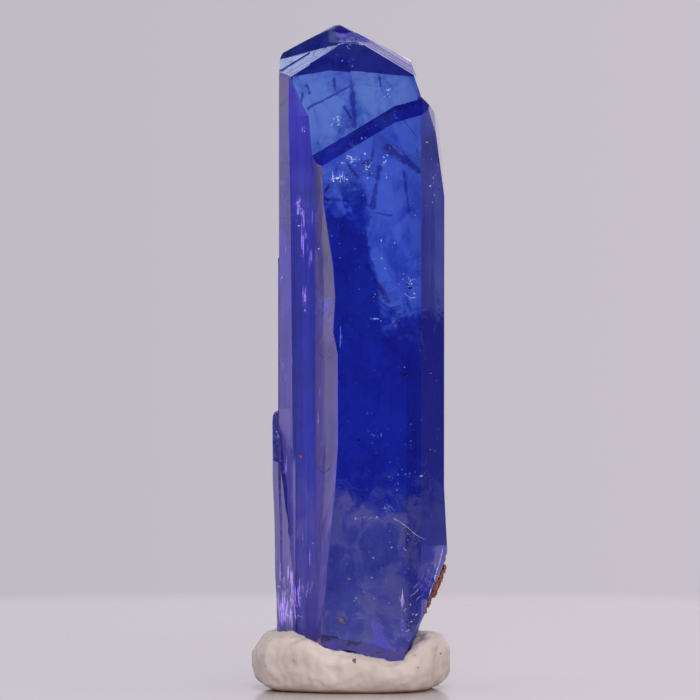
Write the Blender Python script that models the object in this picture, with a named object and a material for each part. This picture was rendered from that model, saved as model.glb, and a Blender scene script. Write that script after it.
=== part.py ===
# Tanzanite crystal standing in its lump of white mounting putty.
#
# The crystal is several blades grown together side by side: a tall main crystal with a roof-shaped
# end, a thick front blade with its own sloping end, a thin broken blade on the left and three lower
# ones on the back. They share one lattice, so their end faces are parallel, and they are one solid.
#
# Outlines and heights are in millimetres, and each finished mesh is scaled to metres.
# +Z is up and -Y is the front. The origin is on the table, under the middle of the putty.

import math

import bmesh
import bpy
from mathutils import Vector, noise
from mathutils.bvhtree import BVHTree

METRES = 0.001

# Driving sizes, in millimetres
CRYSTAL_TOP = 39.7
MAIN_LEFT = -4.32
MAIN_RIGHT = 4.15
MAIN_FRONT = -1.9
MAIN_BACK = 2.8
BLADE_FRONT = -4.4
BLADE_CORNER = 4.14
BACK_DEPTH = 4.2
PUTTY_WIDTH = 11.9
PUTTY_DEPTH = 10.3
PUTTY_HEIGHT = 3.7
TABLE_INSET = 0.62

# The crystal's outlines are drawn about its own axis, which stands this far behind the origin.
CRYSTAL_SETBACK = 0.25

# Slopes of the end faces, as rise over run. Every blade repeats them.
LEFT_SLOPE = 0.62
RIGHT_SLOPE = 0.60
ROOF_LEAN_LEFT = 0.60
ROOF_LEAN_RIGHT = 0.27
BACK_SLOPE = 0.80

# Clear gaps between separate pieces
SOCKET_GAP = 0.10
CRUST_GAP = 0.05

BELOW = -2.0
ABOVE = 45.0


def clear_scene():
    for obj in list(bpy.data.objects):
        bpy.data.objects.remove(obj, do_unlink=True)


def material(name, colour, roughness, transmission=0.0):
    made = bpy.data.materials.new(name)
    made.use_nodes = True
    shader = made.node_tree.nodes["Principled BSDF"]
    shader.inputs["Base Color"].default_value = (*colour, 1.0)
    shader.inputs["Roughness"].default_value = roughness
    shader.inputs["Metallic"].default_value = 0.0
    shader.inputs["Transmission Weight"].default_value = transmission
    made.diffuse_color = (*colour, 1.0)
    return made


def face_outward(bm):
    """Turns every normal of a closed mesh to the outside."""
    bmesh.ops.recalc_face_normals(bm, faces=bm.faces[:])
    if bm.calc_volume(signed=True) < 0:
        bmesh.ops.reverse_faces(bm, faces=bm.faces[:])


def new_object(name, bm):
    """Makes an object from a bmesh, with its normals pointing out."""
    bmesh.ops.remove_doubles(bm, verts=bm.verts[:], dist=1e-4)
    face_outward(bm)
    mesh = bpy.data.meshes.new(name)
    bm.to_mesh(mesh)
    bm.free()
    obj = bpy.data.objects.new(name, mesh)
    bpy.context.scene.collection.objects.link(obj)
    return obj


def evaluated_mesh(obj):
    bpy.context.view_layer.update()
    graph = bpy.context.evaluated_depsgraph_get()
    return bpy.data.meshes.new_from_object(obj.evaluated_get(graph))


def combine(obj, others, operation):
    """Joins the others to obj, or cuts them from it, and removes them."""
    for other in others:
        modifier = obj.modifiers.new(operation.title(), "BOOLEAN")
        modifier.operation = operation
        modifier.solver = "MANIFOLD"
        modifier.object = other
        obj.data = evaluated_mesh(obj)
        obj.modifiers.clear()
        bpy.data.objects.remove(other, do_unlink=True)
    return obj


def between(keys, z):
    """The value at height z, from (height, value) pairs listed from the top down."""
    if z >= keys[0][0]:
        return keys[0][1]
    for (z1, v1), (z0, v0) in zip(keys, keys[1:]):
        if z >= z0:
            return v0 + (v1 - v0) * (z - z0) / (z1 - z0)
    return keys[-1][1]


def striated(start, end, ribs, relief):
    """Points from start up to end, with a shallow growth rib on each of the equal stretches between."""
    (x0, y0), (x1, y1) = start, end
    length = math.hypot(x1 - x0, y1 - y0)
    out_x, out_y = (y1 - y0) / length, -(x1 - x0) / length
    points = [start]
    for rib in range(1, ribs):
        share = (rib + 0.25 * math.sin(rib * 2.3)) / ribs
        lift = relief * (0.5 + 0.5 * math.sin(rib * 4.1)) * (1 if rib % 2 else -1)
        points.append((x0 + (x1 - x0) * share + out_x * lift, y0 + (y1 - y0) * share + out_y * lift))
    return points


def loft(name, outline_at, heights):
    """A prism whose outline may change with height. Outlines run anticlockwise, seen from above."""
    bm = bmesh.new()
    rings = [[bm.verts.new((x, y, z)) for x, y in outline_at(z)] for z in heights]
    count = len(rings[0])
    for lower, upper in zip(rings, rings[1:]):
        for i in range(count):
            j = (i + 1) % count
            bm.faces.new((lower[i], lower[j], upper[j], upper[i]))
    bm.faces.new(rings[0][::-1])
    bm.faces.new(rings[-1])
    return new_object(name, bm)


def end_face(obj, point, slope_x, slope_y):
    """Cuts off what is above the plane through point that rises by slope_x along X and slope_y along Y."""
    trim(obj, point, (-slope_x, -slope_y, 1.0))


def trim(obj, point, normal):
    """Cuts off what lies on the normal's side of a plane, and closes the cut with one flat face."""
    bm = bmesh.new()
    bm.from_mesh(obj.data)
    everything = bm.verts[:] + bm.edges[:] + bm.faces[:]
    cut = bmesh.ops.bisect_plane(
        bm, geom=everything, dist=1e-5, plane_co=point, plane_no=normal, clear_outer=True
    )
    rim = [part for part in cut["geom_cut"] if isinstance(part, bmesh.types.BMEdge)]
    bmesh.ops.contextual_create(bm, geom=rim)
    face_outward(bm)
    bm.to_mesh(obj.data)
    bm.free()


def wedge(name, low, high, point, slope_x, slope_y):
    """A box from low to high, kept only above the plane through point. It cuts a ledge."""
    bm = bmesh.new()
    bmesh.ops.create_cube(bm, size=1.0)
    for vert in bm.verts:
        vert.co = Vector(a + (b - a) * (c + 0.5) for a, b, c in zip(low, high, vert.co))
    obj = new_object(name, bm)
    trim(obj, point, (slope_x, slope_y, -1.0))
    return obj


def ripple(point, start, spacing, height, grain):
    """How far a broken face stands out: shell-shaped ripples about their start, and a rough grain."""
    reach = (point - start).length
    waves = height * math.sin(reach * math.tau / spacing) * math.exp(-reach / (4 * spacing))
    coarse = noise.noise(point * 0.8) * grain
    fine = noise.noise(point * 2.9 + Vector((7.0, 3.0, 1.0))) * grain * 0.45
    return waves + coarse + fine


def rough_cutter(name, centre, normal, half_width, half_height, cells, curve, relief):
    """A thick slab that cuts away what is on the normal's side and leaves a broken face.

    curve bends the face away at its ends. relief is the ripples' start, spacing and height and the
    grain, as ripple takes them.
    """
    out = Vector(normal).normalized()
    side = out.cross(Vector((0, 0, 1)) if abs(out.z) < 0.8 else Vector((0, 1, 0))).normalized()
    up = side.cross(out).normalized()
    start, spacing, height, grain = relief
    bm = bmesh.new()
    layers = []
    for thickness in (0.0, 14.0):
        layer = []
        for row in range(cells + 1):
            for column in range(cells + 1):
                u = half_width * (2 * column / cells - 1)
                v = half_height * (2 * row / cells - 1)
                point = Vector(centre) + side * u + up * v - out * curve * v * v
                if thickness:
                    point += out * thickness
                else:
                    point += out * ripple(point, Vector(start), spacing, height, grain)
                layer.append(bm.verts.new(point))
        layers.append(layer)
    near, far = layers
    wide = cells + 1
    for row in range(cells):
        for column in range(cells):
            i = row * wide + column
            corners = (i, i + 1, i + wide + 1, i + wide)
            bm.faces.new([near[c] for c in corners])
            bm.faces.new([far[c] for c in reversed(corners)])
    edge = [i for i in range(wide)]
    edge += [row * wide + cells for row in range(1, wide)]
    edge += [cells * wide + column for column in range(cells - 1, -1, -1)]
    edge += [row * wide for row in range(cells - 1, 0, -1)]
    for a, b in zip(edge, edge[1:] + edge[:1]):
        bm.faces.new((near[b], near[a], far[a], far[b]))
    return new_object(name, bm)


def main_crystal():
    """The tallest blade, flat at front and back, with a roof-shaped end."""
    edge_keys = [(37.4, -3.96), (36.6, -3.75), (34.0, -3.72), (28.0, -3.60), (16.7, -3.50), (10.0, -3.42)]
    front_keys = [(36.6, -3.63), (34.8, -2.88), (34.2, -2.52), (31.6, -2.30), (28.0, -2.13), (0.0, -2.10)]
    step_keys = [(36.6, 0.12), (34.2, 0.10), (31.6, 0.0)]
    back_keys = [(34.8, -3.5), (28.0, -2.9)]
    shoulder = -1.5

    def outline(z):
        edge, front = between(edge_keys, z), between(front_keys, z)
        step, back = between(step_keys, z), between(back_keys, z)
        points = striated((edge, shoulder), (front, MAIN_FRONT), 4, 0.012)
        points += [(front, MAIN_FRONT), (3.95, MAIN_FRONT - 0.03), (MAIN_RIGHT, -1.45)]
        points += striated((MAIN_RIGHT + 0.02, 0.2), (MAIN_RIGHT - 0.05, 1.5), 3, 0.04)
        points += [(3.92, MAIN_BACK - 0.14), (0.06, MAIN_BACK - step)]
        points += [(-0.12, MAIN_BACK), (back, MAIN_BACK)]
        points += striated((-4.25, 1.35), (MAIN_LEFT, -0.3), 4, 0.03)
        points += [(MAIN_LEFT, -0.3)]
        return points

    heights = [BELOW, 10.0, 16.7, 28.0, 31.6, 34.2, 34.8, 36.6, 37.4, ABOVE]
    body = loft("main", outline, heights)
    left_roof = (-3.63, MAIN_FRONT, 36.6)
    right_roof = (0.82, MAIN_FRONT, 38.52)
    end_face(body, right_roof, -RIGHT_SLOPE, ROOF_LEAN_RIGHT)
    end_face(body, (-3.9, MAIN_BACK, 36.65), 0.17, -BACK_SLOPE)
    end_face(body, (3.6, MAIN_BACK, 36.62), -0.10, -BACK_SLOPE)
    # the left of the roof is a low front terrace, and behind it a steeper riser up to the ridge
    terrace = wedge("terrace", (-6.0, -6.0, 34.0), (6.0, 6.0, 47.0), left_roof, LEFT_SLOPE, ROOF_LEAN_LEFT)
    trim(terrace, (-3.98, 0.46, 37.8), (1.0, 1.17, -1.0))
    combine(body, [terrace], "DIFFERENCE")
    end_face(body, (-0.9, 0.0, CRYSTAL_TOP), 0.0, 0.0)
    trim(body, (3.60, 0.0, 37.45), (3.0, -0.2, 1.0))
    trim(body, (-4.16, 1.2, 37.95), (-2.4, 0.3, 1.0))
    for step in range(3):
        reach = MAIN_FRONT + 0.45 + 0.66 * (2 - step)
        x, y, z = right_roof
        level = (x, y, z - 0.035 * (step + 1))
        ledge = wedge("ledge", (-0.6, -6.0, 34.0), (7.0, reach, 43.0), level, -RIGHT_SLOPE, ROOF_LEAN_RIGHT)
        combine(body, [ledge], "DIFFERENCE")
    x, y, z = left_roof
    low, high = (-6.0, -6.0, 34.0), (-2.45, -0.58, 43.0)
    notch = wedge("notch", low, high, (x, y, z - 0.09), LEFT_SLOPE, ROOF_LEAN_LEFT)
    combine(body, [notch], "DIFFERENCE")
    return body


def front_blade():
    """The thick blade on the front right, whose left flank bulges at mid-height."""
    root_keys = [(31.6, -2.30), (28.0, -2.13), (0.0, -2.08)]
    flank_keys = [
        (31.4, -1.74), (28.8, -1.61), (26.5, -1.27), (25.2, -1.06), (23.4, -0.94), (21.3, -1.05),
        (20.0, -0.79), (14.7, -0.77), (12.1, -0.94), (10.0, -1.15), (7.9, -1.36), (5.8, -1.53), (3.6, -1.78),
    ]
    right_keys = [(24.0, 5.55), (12.0, 5.53), (8.4, 5.72), (0.0, 5.72)]
    rib_share, rib_lift = 0.52, 0.09

    def outline(z):
        root = Vector((between(root_keys, z), MAIN_FRONT))
        flank_x = between(flank_keys, z)
        flank = Vector((flank_x, BLADE_FRONT + 0.009 * (BLADE_CORNER - flank_x)))
        along = flank - root
        lift = Vector((along.y, -along.x)).normalized() * rib_lift
        rib = root + along * rib_share + lift
        buried = root - along * 0.14
        right = between(right_keys, z)
        points = [tuple(buried), tuple(rib), tuple(flank)]
        points += [(BLADE_CORNER, BLADE_FRONT)]
        points += striated((BLADE_CORNER + 0.06, BLADE_FRONT + 0.07), (right, -2.6), 3, 0.04)
        points += striated((right, -2.6), (right - 0.05, 0.6), 4, 0.035)
        points += [(right - 0.05, 0.6), (4.45, 2.45), (0.4, 1.2)]
        return points

    heights = [3.6, 5.8, 7.9, 8.4, 10.0, 12.1, 14.7, 20.0, 21.3, 23.4, 24.0, 25.2, 26.5, 28.8, 31.4]
    blade = loft("front_blade", outline, [BELOW, *heights, ABOVE])
    end_face(blade, (2.60, MAIN_FRONT, 34.80), LEFT_SLOPE - 0.015, 0.45)
    end_face(blade, (3.80, MAIN_FRONT, 35.13), LEFT_SLOPE - 0.345, 0.45)
    end_face(blade, (4.26, MAIN_FRONT, 35.27), -RIGHT_SLOPE * 2.0, 0.02)
    trim(blade, (4.95, -2.0, 34.4), (4.2, -0.8, 1.0))
    trim(blade, (5.30, -1.0, 32.3), (8.0, -0.6, 1.0))
    return blade


def left_blade():
    """The thin blade on the lower left, broken off along a steep ragged face."""
    lean_keys = [(15.0, 0.0), (12.6, 0.01), (10.0, 0.12), (6.7, 0.16), (5.3, 0.25), (0.0, 0.33)]

    def outline(z):
        lean = between(lean_keys, z)
        inner = -3.62 + lean * 0.5
        points = striated((-4.66 + lean, -1.25), (inner, -1.98), 4, 0.018)
        points += [(inner, -1.98), (-3.1, -1.3), (-3.9, 0.5), (-4.62 + lean, 0.75), (-4.72 + lean, -0.1)]
        return points

    blade = loft("left_blade", outline, [BELOW, 5.3, 6.7, 10.0, 12.6, 15.0, 17.2])
    start = (-4.9, -1.0, 16.6)
    break_face = rough_cutter(
        "break", (-4.05, -0.9, 13.4), (5.0, -1.0, 0.6), 3.0, 6.5, 26, 0.0, (start, 1.3, 0.05, 0.16)
    )
    top = rough_cutter(
        "top", (-4.4, -0.55, 15.3), (-0.55, -1.35, 0.7), 1.7, 2.6, 18, 0.0, (start, 0.5, 0.03, 0.12)
    )
    end_face(blade, (-4.5, -0.6, 16.3), 0.6, 0.2)
    combine(blade, [break_face, top], "DIFFERENCE")
    return blade


def left_lamina():
    """A growth layer as thin as paper on the left side."""

    def outline(z):
        return [(-4.37, -0.22), (-4.0, -0.4), (-4.0, 0.9), (-4.39, 0.8)]

    lamina = loft("lamina", outline, [4.0, 25.8])
    end_face(lamina, (-4.37, -0.2, 25.5), 0.5, 0.35)
    return lamina


def back_blades():
    """A thin plate with a clean end on the back, and two thicker blades that are broken off below it."""

    def plate_outline(z):
        return [(0.1, 2.0), (4.5, 1.6), (4.62, 2.35), (4.30, 3.10), (1.45, 3.24), (0.2, 2.85)]

    def left_outline(z):
        points = [(-2.75, 1.9), (2.1, 1.9), (2.1, 3.12)]
        points += striated((2.1, 3.12), (-0.9, BACK_DEPTH - 0.05), 3, 0.02)
        points += striated((-0.9, BACK_DEPTH - 0.05), (-2.72, 3.30), 3, 0.03)
        return points + [(-2.72, 3.30), (-2.86, 2.5)]

    def right_outline(z):
        points = [(-0.5, 2.1), (4.7, 1.5), (4.98, 2.2)]
        points += striated((4.95, 3.15), (3.35, BACK_DEPTH), 3, 0.02)
        points += striated((3.35, BACK_DEPTH), (-0.7, 4.04), 3, 0.02)
        return points + [(-0.7, 4.04)]

    plate = loft("back_plate", plate_outline, [BELOW, ABOVE])
    end_face(plate, (1.44, 3.0, 32.9), -RIGHT_SLOPE - 0.1, -1.8)
    end_face(plate, (1.44, 3.0, 32.95), 8.0, -1.8)
    left = loft("back_left", left_outline, [BELOW, 32.6])
    left_relief = ((-2.6, 4.0, 30.5), 1.4, 0.03, 0.14)
    left_break = rough_cutter("break", (-0.5, 3.5, 29.2), (-0.35, 3.2, 1.0), 3.6, 5.0, 26, 0.02, left_relief)
    combine(left, [left_break], "DIFFERENCE")
    right = loft("back_right", right_outline, [BELOW, 26.6])
    right_relief = ((5.0, 4.2, 23.0), 1.2, 0.03, 0.14)
    right_break = rough_cutter("break", (2.2, 3.6, 22.6), (0.30, 3.4, 1.0), 4.4, 5.4, 26, 0.02, right_relief)
    combine(right, [right_break], "DIFFERENCE")
    return [plate, left, right]


def break_crystal(crystal):
    """Breaks the base, the lower right corner and the tip off, and scoops a shell-shaped chip out."""
    base_start = (3.1, -4.4, 1.9)
    base = rough_cutter(
        "base", (0.6, 0.0, 2.44), (-0.22, 0.04, -1.0), 8.0, 7.0, 34, 0.0, (base_start, 1.9, 0.06, 0.22)
    )
    corner_start = (5.9, -2.2, 8.6)
    corner = rough_cutter(
        "corner", (4.63, 0.0, 5.2), (1.0, -0.06, -0.385), 6.5, 6.2, 36, 0.0, (corner_start, 1.1, 0.05, 0.16)
    )
    scoop_start = (5.8, -2.6, 8.7)
    scoop = rough_cutter(
        "scoop", (4.92, -3.0, 6.9), (0.80, -0.58, -0.10), 1.7, 1.75, 20, -0.16, (scoop_start, 0.6, 0.05, 0.10)
    )
    tip_start = (-0.9, -1.6, 39.0)
    tip = rough_cutter(
        "tip", (-0.30, -1.3, 38.95), (0.08, -0.62, 1.0), 1.2, 0.8, 14, 0.05, (tip_start, 0.6, 0.03, 0.16)
    )
    return combine(crystal, [base, corner, scoop, tip], "DIFFERENCE")


def swollen_copy(obj, gap):
    """A copy whose surface stands gap outside the original's. It is used as a cutter."""
    bm = bmesh.new()
    bm.from_mesh(obj.data)
    bmesh.ops.remove_doubles(bm, verts=bm.verts[:], dist=1e-3)
    bm.normal_update()
    shifts = [vert.normal * gap * max(1.0, vert.calc_shell_factor()) for vert in bm.verts]
    for vert, shift in zip(bm.verts, shifts):
        vert.co += shift
    return new_object("swollen", bm)


def lump(name, centre, radius, stretch, seed):
    """One angular crumb: a ball with its points pushed in and out."""
    bm = bmesh.new()
    bmesh.ops.create_icosphere(bm, subdivisions=2, radius=radius)
    for vert in bm.verts:
        push = 1.0 + 0.35 * noise.noise(vert.co * 3.4 + Vector((seed, 0.0, 0.0)))
        vert.co = Vector(c * s * push for c, s in zip(vert.co, stretch)) + Vector(centre)
    return new_object(name, bm)


def keep_largest(obj):
    """Drops every loose scrap but the piece with the most points."""
    bm = bmesh.new()
    bm.from_mesh(obj.data)
    bmesh.ops.remove_doubles(bm, verts=bm.verts[:], dist=4e-3)
    left = set(bm.verts)
    groups = []
    while left:
        group = {left.pop()}
        fringe = list(group)
        while fringe:
            here = fringe.pop()
            near = [link.other_vert(here) for link in here.link_edges]
            new = [vert for vert in near if vert in left]
            left.difference_update(new)
            group.update(new)
            fringe.extend(new)
        groups.append(group)
    groups.sort(key=len)
    scraps = [vert for group in groups[:-1] for vert in group]
    bmesh.ops.delete(bm, geom=scraps, context="VERTS")
    bm.to_mesh(obj.data)
    bm.free()
    return obj


def matrix_crust(crystal):
    """Crumbs of host rock on the broken corner: a thick group above and a small one below, joined."""
    mesh = crystal.data
    surface = BVHTree.FromPolygons([v.co for v in mesh.vertices], [p.vertices for p in mesh.polygons])
    high, low = Vector((9.0, 0.55, 7.2)), Vector((9.0, -0.05, 4.6))
    radius_keys = [(7.2, 0.24), (6.6, 0.36), (5.8, 0.38), (5.3, 0.22), (4.9, 0.27), (4.6, 0.20)]
    count = 13
    crumbs = []
    for i in range(count):
        start = high.lerp(low, i / (count - 1))
        radius = between(radius_keys, start.z) * (1.0 + 0.12 * math.sin(i * 2.7))
        start.y += radius * math.sin(i * 2.2)
        place = surface.ray_cast(start, Vector((-1.0, 0.0, 0.0)))[0]
        place.x += 0.07 + 0.04 * math.sin(i * 2.1)
        crumbs.append(lump("crumb", place, radius, (0.70, 1.25, 0.9), 3.0 * i))
    strip = combine(crumbs[0], crumbs[1:], "UNION")
    combine(strip, [swollen_copy(crystal, CRUST_GAP)], "DIFFERENCE")
    return keep_largest(strip)


def socket_cutters(crystal):
    """Two simple hulls round the crystal's foot, one for the front blade and one for the rest."""
    swollen = swollen_copy(crystal, SOCKET_GAP)
    foot = [vert.co.copy() for vert in swollen.data.vertices if vert.co.z < 12.0]
    bpy.data.objects.remove(swollen, do_unlink=True)
    crease = MAIN_FRONT + CRYSTAL_SETBACK
    hulls = []
    for points in ([p for p in foot if p.y < crease + 0.1], [p for p in foot if p.y > crease - 0.3]):
        bm = bmesh.new()
        for point in points:
            bm.verts.new(point)
        hull = bmesh.ops.convex_hull(bm, input=bm.verts[:])
        inside = [part for part in hull["geom_interior"] if isinstance(part, bmesh.types.BMVert)]
        bmesh.ops.delete(bm, geom=inside, context="VERTS")
        hulls.append(new_object("socket", bm))
    return hulls


def putty_shape(direction):
    """A point on the pressed lump's surface, for a direction from its middle."""
    half = (PUTTY_WIDTH / 2, PUTTY_DEPTH / 2)
    flat = Vector((direction.x, direction.y))
    spread = abs(direction.z)
    level = math.copysign(spread ** 0.75, direction.z)
    ring = (1.0 - spread ** 2.4) ** 0.5 if spread < 1.0 else 0.0
    around = flat.normalized() if flat.length > 1e-6 else Vector((1.0, 0.0))
    square = (abs(around.x) ** 2.6 + abs(around.y) ** 2.6) ** (-1 / 2.6)
    x = around.x * square * ring * half[0]
    y = around.y * square * ring * half[1]
    z = PUTTY_HEIGHT / 2 * (1.0 + level)
    return Vector((x, y, z))


def putty_base(crystal):
    """The lump of putty: flat below, round at the rim, and pressed up round the crystal's foot."""
    crest_keys = [
        (5.9, 3.9), (5.4, 4.2), (4.9, 4.15), (4.2, 3.75), (3.6, 3.1), (2.6, 2.8), (0.0, 3.1),
        (-2.3, 3.6), (-3.0, 3.85), (-3.9, 4.05), (-4.6, 4.1), (-5.4, 4.0), (-5.9, 3.7),
    ]
    lip_keys = [
        (5.9, 3.4), (4.8, 3.5), (3.8, 2.6), (3.1, 2.0), (-1.9, 3.2), (-2.4, 3.7), (-3.6, 4.1), (-5.6, 3.7),
    ]
    lip_from, lip_to = -4.7, -3.4
    bm = bmesh.new()
    bmesh.ops.create_uvsphere(bm, u_segments=64, v_segments=26, radius=1.0)
    for vert in bm.verts:
        point = putty_shape(vert.co.normalized())
        share = min(1.0, max(0.0, (point.y - lip_from) / (lip_to - lip_from)))
        share = share * share * (3 - 2 * share)
        crest = between(crest_keys, point.x) * share + between(lip_keys, point.x) * (1 - share)
        high = max(0.0, point.z / PUTTY_HEIGHT)
        dent = noise.noise(point * 0.5) * 0.22 + noise.noise(point * 1.3) * 0.07
        point.z *= 1.0 + high * (crest / PUTTY_HEIGHT - 1.0)
        point.z += high * (1.0 - high) * 4 * dent
        swell = 1.0 + 0.07 * noise.noise(point * 0.45 + Vector((3.0, 1.0, 5.0)))
        point.x *= swell
        point.y *= swell
        point.z -= TABLE_INSET * (1.0 - high)
        point.z = max(point.z, 0.0)
        vert.co = point
    low = [min(vert.co[axis] for vert in bm.verts) for axis in (0, 1)]
    high = [max(vert.co[axis] for vert in bm.verts) for axis in (0, 1)]
    for vert in bm.verts:
        for axis, size in enumerate((PUTTY_WIDTH, PUTTY_DEPTH)):
            share = (vert.co[axis] - low[axis]) / (high[axis] - low[axis])
            vert.co[axis] = size * (share - 0.5)
    flat_faces = [face for face in bm.faces if max(vert.co.z for vert in face.verts) < 1e-6]
    bmesh.ops.dissolve_faces(bm, faces=flat_faces)
    putty = new_object("putty_base", bm)
    combine(putty, socket_cutters(crystal), "DIFFERENCE")
    return keep_largest(putty)


def finish(obj, name, look):
    """Names a piece, gives it its material and scales it to metres."""
    obj.name = name
    obj.data.name = name
    obj.data.materials.clear()
    obj.data.materials.append(look)
    bm = bmesh.new()
    bm.from_mesh(obj.data)
    bmesh.ops.remove_doubles(bm, verts=bm.verts[:], dist=2e-4)
    face_outward(bm)
    for vert in bm.verts:
        vert.co *= METRES
    bm.to_mesh(obj.data)
    bm.free()


def main():
    clear_scene()
    crystal = main_crystal()
    combine(crystal, [front_blade(), left_blade(), left_lamina(), *back_blades()], "UNION")
    break_crystal(crystal)
    for vert in crystal.data.vertices:
        vert.co.y += CRYSTAL_SETBACK
    crust = matrix_crust(crystal)
    putty = putty_base(crystal)
    finish(crystal, "tanzanite_crystal", material("tanzanite", (0.10, 0.09, 0.55), 0.08, 0.9))
    finish(crust, "matrix_crust", material("iron_stained_rock", (0.28, 0.12, 0.08), 0.85))
    finish(putty, "putty_base", material("white_putty", (0.78, 0.75, 0.71), 0.6))


main()
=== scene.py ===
import math
import random

import bmesh
import bpy
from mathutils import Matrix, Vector, noise
from mathutils.bvhtree import BVHTree


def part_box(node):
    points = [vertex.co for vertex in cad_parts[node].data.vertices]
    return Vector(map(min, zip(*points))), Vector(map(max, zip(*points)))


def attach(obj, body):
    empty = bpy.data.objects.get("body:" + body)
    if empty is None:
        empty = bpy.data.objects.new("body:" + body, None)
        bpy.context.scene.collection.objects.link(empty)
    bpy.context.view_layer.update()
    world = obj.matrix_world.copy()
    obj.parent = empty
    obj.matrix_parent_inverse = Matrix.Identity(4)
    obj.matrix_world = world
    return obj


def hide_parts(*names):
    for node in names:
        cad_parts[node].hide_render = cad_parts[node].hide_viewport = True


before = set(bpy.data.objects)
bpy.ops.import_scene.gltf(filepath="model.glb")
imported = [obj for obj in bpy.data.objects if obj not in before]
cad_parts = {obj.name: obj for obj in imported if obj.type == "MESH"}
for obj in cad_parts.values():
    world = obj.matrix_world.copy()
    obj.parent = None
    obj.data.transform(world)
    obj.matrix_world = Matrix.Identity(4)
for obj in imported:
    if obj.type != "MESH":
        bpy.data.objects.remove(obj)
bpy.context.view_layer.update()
mm = 0.001
print("frame loaded:", ", ".join(sorted(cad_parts)))


# small helpers shared by the pieces

def linear(red, green, blue):
    # screen colour (0 to 255) to the linear values that a shader takes
    def one(value):
        value /= 255.0
        return value / 12.92 if value <= 0.04045 else ((value + 0.055) / 1.055) ** 2.4
    return (one(red), one(green), one(blue), 1.0)


def newMaterial(name):
    made = bpy.data.materials.new(name)
    made.use_nodes = True
    tree = made.node_tree
    tree.nodes.clear()
    output = tree.nodes.new("ShaderNodeOutputMaterial")
    shader = tree.nodes.new("ShaderNodeBsdfPrincipled")
    tree.links.new(shader.outputs["BSDF"], output.inputs["Surface"])
    place = tree.nodes.new("ShaderNodeTexCoord").outputs["Object"]
    return made, tree, shader, place


def fill(tree, socket, value):
    # a socket takes another node's output, or a plain value
    if isinstance(value, bpy.types.NodeSocket):
        tree.links.new(value, socket)
    else:
        socket.default_value = value


def addNode(tree, kind, inputs=None, **settings):
    node = tree.nodes.new(kind)
    for key, value in settings.items():
        setattr(node, key, value)
    for key, value in (inputs or {}).items():
        fill(tree, node.inputs[key], value)
    return node


def stretched(tree, place, scale):
    return addNode(tree, "ShaderNodeMapping", {"Vector": place, "Scale": scale}).outputs["Vector"]


def vectorMath(tree, operation, first, second):
    return addNode(tree, "ShaderNodeVectorMath", {0: first, 1: second}, operation=operation).outputs


def scaled(tree, vector, factor):
    return addNode(tree, "ShaderNodeVectorMath", {0: vector, "Scale": factor}, operation="SCALE").outputs[0]


def noiseAt(tree, place, scale, detail=2.0, roughness=0.5, distortion=0.0):
    node = addNode(
        tree, "ShaderNodeTexNoise",
        {"Vector": place, "Scale": scale, "Detail": detail, "Roughness": roughness, "Distortion": distortion},
    )
    return node.outputs["Fac"]


def ramp(tree, value, stops):
    node = addNode(tree, "ShaderNodeValToRGB", {"Fac": value})
    elements = node.color_ramp.elements
    while len(elements) < len(stops):
        elements.new(0.5)
    for element, (position, colour) in zip(elements, stops):
        element.position = position
        element.color = colour if len(colour) == 4 else (*colour, 1.0)
    return node.outputs["Color"]


def mathNode(tree, operation, first, second=0.0):
    return addNode(tree, "ShaderNodeMath", {0: first, 1: second}, operation=operation).outputs["Value"]


def product(tree, first, *others):
    for other in others:
        first = mathNode(tree, "MULTIPLY", first, other)
    return first


def mixColour(tree, factor, first, second, blendType="MIX"):
    # the colour sockets of this node are numbers 6, 7 and, on its way out, 2
    node = addNode(tree, "ShaderNodeMix", data_type="RGBA", blend_type=blendType)
    for number, value in ((0, factor), (6, first), (7, second)):
        fill(tree, node.inputs[number], value)
    return node.outputs[2]


def mapRange(tree, value, low, high, toLow=0.0, toHigh=1.0, smooth=True):
    return addNode(
        tree, "ShaderNodeMapRange",
        {"Value": value, "From Min": low, "From Max": high, "To Min": toLow, "To Max": toHigh},
        interpolation_type="SMOOTHSTEP" if smooth else "LINEAR",
    ).outputs["Result"]


def dress(tree, shader, colour, roughness):
    fill(tree, shader.inputs["Base Color"], colour)
    fill(tree, shader.inputs["Roughness"], roughness)


def addRelief(tree, shader, height, strength, depth):
    bump = addNode(tree, "ShaderNodeBump", {"Height": height, "Strength": strength, "Distance": depth * mm})
    tree.links.new(bump.outputs["Normal"], shader.inputs["Normal"])


def linkedObject(name, bm):
    mesh = bpy.data.meshes.new(name)
    bm.to_mesh(mesh)
    bm.free()
    made = bpy.data.objects.new(name, mesh)
    bpy.context.scene.collection.objects.link(made)
    return made


def newPiece(name, bm, material):
    bmesh.ops.recalc_face_normals(bm, faces=bm.faces[:])
    if bm.calc_volume(signed=True) < 0:
        bmesh.ops.reverse_faces(bm, faces=bm.faces[:])
    piece = linkedObject(name, bm)
    piece.data.materials.append(material)
    return piece


def finish(piece):
    # only once the mesh is final and its modifiers are gone
    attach(piece, "root")


def appliedMesh(piece):
    bpy.context.view_layer.update()
    graph = bpy.context.evaluated_depsgraph_get()
    piece.data = bpy.data.meshes.new_from_object(piece.evaluated_get(graph))
    piece.modifiers.clear()


def remeshed(piece, voxel):
    remesh = piece.modifiers.new("remesh", "REMESH")
    remesh.mode = "VOXEL"
    remesh.voxel_size = voxel * mm
    appliedMesh(piece)


def mergedCopy(nodeName):
    # a CAD node's mesh is loose triangles: this gives a joined copy
    bm = bmesh.new()
    bm.from_mesh(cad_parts[nodeName].data)
    bmesh.ops.remove_doubles(bm, verts=bm.verts[:], dist=1e-7)
    return bm


# floor, light and camera

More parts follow.
